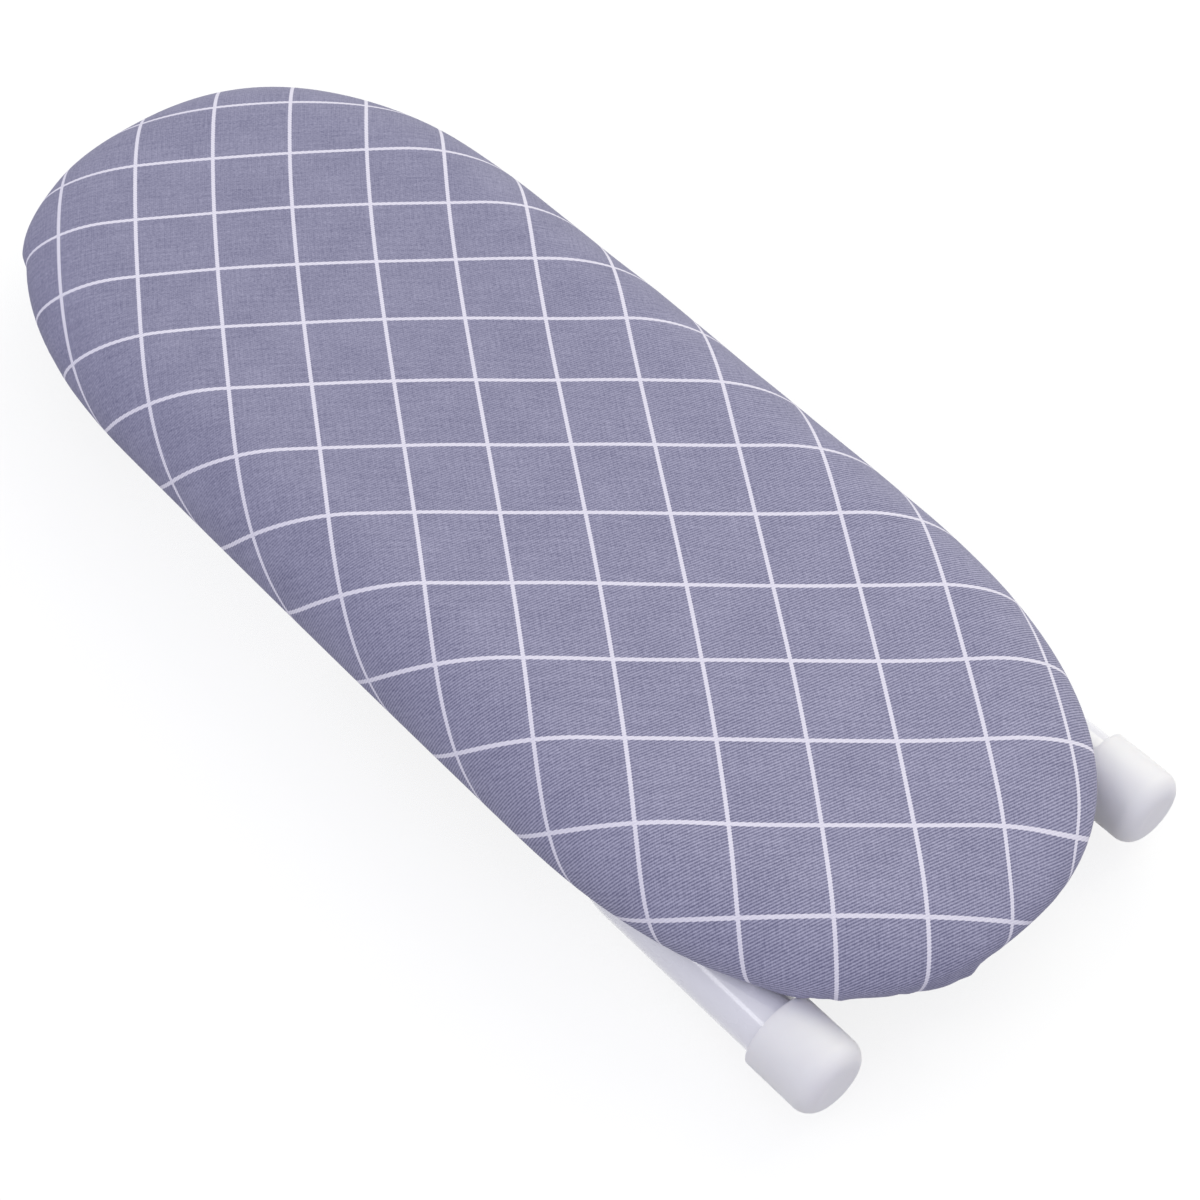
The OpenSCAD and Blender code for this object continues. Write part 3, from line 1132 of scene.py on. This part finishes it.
        # Each further ring with its ungathered run, which is what the cloth is measured along
        smooth = []
        for turn in steps_to(math.pi / 2, self.shoulder_rows):
            plain = form.shoulder_ring(turn)
            out = form.inward * (self.standing * math.sin(turn) ** self.fold_sharpness)[:, None]
            smooth.append((plain - form.level_ring(out, 0.0), plain))
        for turn in steps_to(math.pi / 2, self.wrap_rows):
            place = form.inset(form.deck_inset * (1 - math.cos(turn)))
            smooth.append((self.wrap_ring(turn), form.level_ring(place, self._wrap_z(turn))))
        for distance in steps_to(self.hem_w, self.under_rows, form.deck_inset):
            smooth.append((self.under_ring(distance), form.level_ring(form.inset(distance), self.skin_z)))
        further = []
        before = points[-1]
        for ring, plain in smooth:
            further.append((ring, np.linalg.norm(plain - before, axis=1)))
            before = plain
        # The hem's turned edge, and the cloth that is turned in over it
        for turn in steps_to(math.pi, self.fold_rows):
            ring = self.under_ring(self.hem_w, self.fold_r * (1 - math.cos(turn)))
            ring[:, :2] += form.inward * (self.fold_r * math.sin(turn))
            further.append((ring, self.fold_r * math.pi / self.fold_rows))
        for back in steps_to(self.turned_in, self.turned_rows):
            ring = self.under_ring(self.hem_w - back, 2 * self.fold_r)
            further.append((ring, self.turned_in / self.turned_rows))
        arc = np.zeros(form.count)
        for ring, step in further:
            arc = arc + step
            points.append(ring)
            flat.append(self.base - form.inward * arc[:, None])
        return points, flat

    def build(self) -> bpy.types.Object:
        """Returns:
            The cover's object.
        """
        form = self.form
        points, flat = self.rows()
        swell = self._unevenness(np.vstack(points))
        cloth = np.vstack([*points, [[0, 0, form.crown_z]]])
        cloth[:, 2] += np.append(swell, 0.0)
        where = self.weave.counts(np.vstack([*flat, [[0, 0]]]), form.half_l, form.half_w)
        faces = ring_faces(len(points), form.count) + fan_faces(len(cloth) - 1, 0, form.count)
        piece = add_mesh("cotton_cover", cloth, faces, where)
        thick = piece.modifiers.new("cloth_thickness", "SOLIDIFY")
        thick.thickness = self.cloth_t
        thick.offset = -1
        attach(piece, "board")
        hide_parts("cover")
        self.edge = flat[-1]
        return piece

    def _unevenness(self, points: np.ndarray) -> np.ndarray:
        """Small rises and hollows of the padding under the cloth.

        Args:
            points: one row of x, y, z for each point.

        Returns:
            One height for each point.
        """
        draw = np.random.default_rng(23)
        x, y, z = points.T
        height = np.zeros(len(points))
        for _ in range(self.swells):
            angle, pitch = draw.uniform(0, math.pi), draw.uniform(*self.swell_l)
            phase = draw.uniform(0, 2 * math.pi)
            height += np.sin(2 * math.pi * (x * math.cos(angle) + y * math.sin(angle)) / pitch + phase)
        edge_z = self.form.edge_z
        return height * self.swell_h * smooth_step(z, edge_z, edge_z + self.swell_edge)


@dataclass
class HemStitching:
    """A row of lock stitches that closes the hem's channel."""

    cover: Cover
    # How far the seam lies outside the elastic's channel
    beside: float = 0.6 * MM
    pitch: float = 2.6 * MM
    gap: float = 0.5 * MM
    thread_r: float = 0.17 * MM
    # How far a stitch is arched and how deep its ends go into the cloth, in radii of the thread
    arch: float = 1.3
    dip: float = 0.7
    sides: int = 6
    steps: int = 4

    def build(self) -> bpy.types.Object:
        """Builds every stitch in one mesh.

        Returns:
            The stitches' object.
        """
        line = self.cover.under_ring(self.cover.hem_w - self.cover.channel_w - self.beside)
        closed = np.vstack([line, line[:1]])
        reach = np.concatenate([[0], np.cumsum(np.linalg.norm(np.diff(closed, axis=0), axis=1))])
        stitches = round(reach[-1] / self.pitch)
        points, faces = [], []
        for k in range(stitches):
            start = (k + 0.5 * self.gap / self.pitch) * reach[-1] / stitches
            end = start + self.pitch - self.gap
            self._stitch(points, faces, closed, reach, start, end)
        piece = add_mesh("hem_stitching", np.array(points), faces)
        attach(piece, "board")
        return piece

    def _stitch(
        self,
        points: list,
        faces: list,
        line: np.ndarray,
        reach: np.ndarray,
        start: float,
        end: float,
    ) -> None:
        """Adds one stitch, which dips into the cloth at both ends.

        Args:
            points: the mesh's points, added to.
            faces: the mesh's faces, added to.
            line: the seam line's points.
            reach: distance along the line of each of its points.
            start: where the stitch starts along the line.
            end: where it ends.
        """
        share = np.linspace(0, 1, self.steps + 1)
        at = np.clip(start + share * (end - start), 0, reach[-1])
        path = np.column_stack([np.interp(at, reach, line[:, axis]) for axis in range(3)])
        path[:, 2] -= self.thread_r * (np.sin(share * math.pi) * self.arch - self.dip)
        run = path[-1] - path[0]
        run /= np.linalg.norm(run)
        aside = np.cross(run, (0, 0, 1))
        aside /= np.linalg.norm(aside)
        up = np.cross(aside, run)
        first = len(points)
        for centre in path:
            for side in range(self.sides):
                angle = 2 * math.pi * side / self.sides
                points.append(centre + self.thread_r * (aside * math.cos(angle) + up * math.sin(angle)))
        for step in range(self.steps):
            for side in range(self.sides):
                here = first + step * self.sides
                after = (side + 1) % self.sides
                faces.append((here + side, here + after, here + self.sides + after, here + self.sides + side))
        last = first + self.steps * self.sides
        faces.append(tuple(range(first + self.sides - 1, first - 1, -1)))
        faces.append(tuple(range(last, last + self.sides)))


@dataclass
class FoamPad:
    """The foam under the cover, with the lip that laps over the deck's edge."""

    form: BoardForm
    # How far it lies under the cover's outer face
    off: float = 0.65 * MM
    # The lip: where its curve would end under the deck, how far round it goes, and its play
    lip_under: float = 0.6 * MM
    lip_turn: float = 50.0
    lip_gap: float = 0.1 * MM
    crown_rows: int = 14
    shoulder_rows: int = 14
    base_rows: int = 4

    def build(self) -> bpy.types.Object:
        """Builds the foam as one closed form.

        Returns:
            The foam's object.
        """
        form = self.form
        rings = [form.crown_ring(share, self.off) for share in steps_to(1.0, self.crown_rows)]
        rings += [form.shoulder_ring(turn, self.off) for turn in steps_to(math.pi / 2, self.shoulder_rows)]
        lip = math.radians(self.lip_turn)
        skin_z = form.deck_z - self.lip_under
        lip_z = form.edge_z - (form.edge_z - skin_z - self.off) * math.sin(lip)
        under_edge = form.deck_inset * (1 - math.cos(lip)) + self.off * math.cos(lip)
        inner = form.inset(form.deck_inset - self.lip_gap)
        rings += [form.level_ring(form.inset(under_edge), lip_z), form.level_ring(inner, lip_z)]
        shares = np.linspace(1, 0, self.base_rows + 1)[:-1]
        rings += [form.level_ring(share * inner, form.deck_top) for share in shares]
        points = np.vstack([*rings, [[0, 0, form.crown_z - self.off], [0, 0, form.deck_top]]])
        top, bottom = len(points) - 2, len(points) - 1
        faces = ring_faces(len(rings), form.count) + fan_faces(top, 0, form.count)
        faces += fan_faces(bottom, (len(rings) - 1) * form.count, form.count, flip=True)
        piece = add_mesh("foam_padding", points, faces)
        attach(piece, "board")
        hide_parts("foam_pad")
        return piece


@dataclass
class HemElastic:
    """The flat elastic in the hem, drawn in with the cloth's pleats."""

    cover: Cover
    width: float = 4.0 * MM
    thickness: float = 0.3 * MM
    seam_in: float = 0.6 * MM

    def build(self) -> bpy.types.Object:
        """Builds the band between the hem's two layers.

        Returns:
            The band's object.
        """
        form = self.cover.form
        inner = self.cover.hem_w - self.seam_in
        outer = inner - self.width
        low = self.cover.fold_r - self.thickness / 2
        high = self.cover.fold_r + self.thickness / 2
        # The band's four edges, each with its place over the width: 0 outside and 1 inside
        edges = [(outer, high, 0.0), (outer, low, 0.0), (inner, low, 1.0), (inner, high, 1.0)]
        rings = [self.cover.under_ring(distance, lift) for distance, lift, _ in edges]
        along = np.tile(form.along, len(rings))
        aside = np.repeat([side for _, _, side in edges], form.count)
        faces = ring_faces(len(rings), form.count, closed=True)
        piece = add_mesh("hem_elastic_band", np.vstack(rings), faces, np.column_stack([along, aside]), "band")
        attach(piece, "board")
        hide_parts("hem_elastic")
        return piece


@dataclass
class PaddedTop:
    """Deck, foam and cover."""

    form: BoardForm = field(default_factory=BoardForm)

    def build(self) -> None:
        """Builds the soft layers over the deck."""
        self.foam = FoamPad(self.form).build()
        log.info("foam_padding")
        cover = Cover(self.form)
        self.cloth = cover.build()
        log.info("cotton_cover")
        self.stitching = HemStitching(cover).build()
        log.info("hem_stitching")
        self.elastic = HemElastic(cover).build()
        log.info("hem_elastic_band")

    def dress(self) -> None:
        """Gives each layer its finish."""
        self.cloth.data.materials.append(CheckedCotton().material())
        self.stitching.data.materials.append(SewingThread().material())
        self.elastic.data.materials.append(BraidedElastic().material())
        self.foam.data.materials.append(OpenFoam().material())
        dress(["deck"], Fibreboard().material())


# ---- Legs and their hinges -----------------------------------------------------------------


class End(Enum):
    """The two ends of the board."""

    NEAR = "near"
    FAR = "far"


class Side(Enum):
    """The two sides of the board."""

    LEFT = "left"
    RIGHT = "right"


class Half(Enum):
    """The two halves of a pillow block."""

    CRADLE = "cradle"
    KEEPER = "keeper"


@dataclass
class LegHinges:
    """Plates, two-part pillow blocks, screws and tee nuts."""

    def dress(self) -> None:
        """Gives the hinges' parts their finishes."""
        zinc = ZincPlate().material()
        nylon = MouldedNylon().material()
        dress([f"hinge_plate_{end.value}" for end in End], zinc)
        dress(["block_screws", "tee_nuts"], ZincPlate("zinc_plated_screw", crystal=900.0).material())
        for half in Half:
            dress([f"{half.value}_{end.value}_{side.value}" for end in End for side in Side], nylon)


@dataclass
class FoldingLegs:
    """The two U-bent tubes with their stop lugs and foot caps."""

    def dress(self) -> None:
        """Gives the legs their finishes."""
        coat = PowderCoat().material()
        milky = MilkyPlastic().material()
        for end in End:
            dress([f"leg_tube_{end.value}", f"stop_lug_{end.value}"], coat)
            dress([f"foot_cap_{end.value}_{side.value}" for side in Side], milky)


# ---- Studio --------------------------------------------------------------------------------


@dataclass
class CameraRig:
    """The camera: where it stands, what it looks at and how it leans."""

    place: Point = (0.30826, -0.26872, 0.52323)
    aim: Point = (0.04760, -0.01890, 0.04425)
    # Focal length and sensor width in millimetres, and the lean in degrees
    lens: float = 79.49
    sensor_w: float = 36.0
    lean: float = 2.198
    nearest: float = 0.01
    farthest: float = 20.0

    def build(self) -> None:
        """Sets the scene's camera."""
        data = bpy.data.cameras.new("camera")
        data.lens = self.lens
        data.sensor_width = self.sensor_w
        data.clip_start, data.clip_end = self.nearest, self.farthest
        camera = bpy.data.objects.new("camera", data)
        bpy.context.scene.collection.objects.link(camera)
        lean = Matrix.Rotation(math.radians(self.lean), 4, "Z")
        camera.matrix_world = facing(self.place, self.aim) @ lean
        bpy.context.scene.camera = camera


@dataclass(frozen=True)
class SoftLamp:
    """A soft square lamp that faces the board; its power is in watts."""

    name: str
    place: Point
    size: float
    power: float
    colour: Colour
    aim: Point = (0.0, 0.0, 0.03)

    def build(self) -> None:
        """Hangs the lamp."""
        data = bpy.data.lights.new(self.name, "AREA")
        data.shape = "SQUARE"
        data.size = self.size
        data.energy = self.power
        data.color = self.colour
        lamp = bpy.data.objects.new(self.name, data)
        bpy.context.scene.collection.objects.link(lamp)
        lamp.matrix_world = facing(self.place, self.aim)


@dataclass
class Studio:
    """Pale floor, white surround, a large soft lamp and a weak one for the highlight on the tubes."""

    # Light of the surround, and of its two dimmer sides that the board's ends face
    sides: Colour = (0.90, 0.907, 0.935)
    ends: Colour = (0.525, 0.525, 0.655)
    lamps: tuple[SoftLamp, ...] = (
        SoftLamp("key", (-0.10, 1.145, 0.964), 1.2, 7.4, (1.0, 0.995, 0.71)),
        SoftLamp("strip", (-0.296, -0.878, 0.92), 0.28, 0.8, (1.0, 1.0, 1.0)),
    )
    floor_colour: Colour = (0.49, 0.49, 0.49)
    floor_r: float = 3.0
    floor_z: float = -0.2 * MM
    # How much of the floor the camera sees, and how much that part shines by itself
    floor_show: float = 0.22
    floor_glow: float = 0.2

    def build(self) -> None:
        """Builds surround, floor and lamps."""
        bpy.context.scene.view_settings.view_transform = "Standard"
        self._surround()
        self._floor()
        for lamp in self.lamps:
            lamp.build()

    def _surround(self) -> None:
        """A white surround that lights the board at a plain level, a little less from its ends."""
        world = bpy.data.worlds.new("surround")
        bpy.context.scene.world = world
        world.use_nodes = True
        world.node_tree.nodes.clear()
        g = NodeGraph(world.node_tree)
        towards = g.parts(g.add("ShaderNodeTexCoord").outputs["Generated"])
        tone = g.blend(g.math("ABSOLUTE", towards[0]), (*self.sides, 1.0), (*self.ends, 1.0))
        lit = g.wired("ShaderNodeBackground", Color=tone).outputs[0]
        shown = g.wired("ShaderNodeBackground", Color=WHITE).outputs[0]
        g.wired("ShaderNodeOutputWorld", Surface=g.mixed(g.seen(), lit, shown))

    def _floor(self) -> None:
        """A pale floor that keeps the board's shadow and lets opened legs show through it."""
        corners = [(-1, -1), (1, -1), (1, 1), (-1, 1)]
        points = np.array([(x * self.floor_r, y * self.floor_r, self.floor_z) for x, y in corners])
        floor = add_mesh("floor", points, [(0, 1, 2, 3)])
        g = FinishGraph("pale_floor")
        pale = g.wired("ShaderNodeBsdfDiffuse", Color=(*self.floor_colour, 1.0)).outputs[0]
        shown = g.wired("ShaderNodeBsdfDiffuse", Color=WHITE).outputs[0]
        glow = g.wired("ShaderNodeEmission", Strength=self.floor_glow).outputs[0]
        white = g.fill(g.add("ShaderNodeAddShader"), shown, glow)
        through = g.add("ShaderNodeBsdfTransparent").outputs[0]
        below = g.add("ShaderNodeNewGeometry").outputs["Backfacing"]
        share = g.times(g.math("SUBTRACT", 1.0, below), self.floor_show)
        whole = g.mixed(g.seen(), pale, g.mixed(share, through, white))
        g.feed(g.tree.nodes["Material Output"].inputs["Surface"], whole)
        g.tree.nodes.remove(g.shader)
        floor.data.materials.append(g.material)


def main() -> None:
    """Builds and dresses every sub-assembly in order."""
    logging.basicConfig(level=logging.INFO, format="%(name)s: %(message)s")
    CameraRig().build()
    log.info("camera")
    Studio().build()
    log.info("studio")
    top = PaddedTop()
    top.build()
    top.dress()
    log.info("padded top")
    LegHinges().dress()
    log.info("leg hinges")
    FoldingLegs().dress()
    log.info("folding legs")


if __name__ == "__main__":
    main()
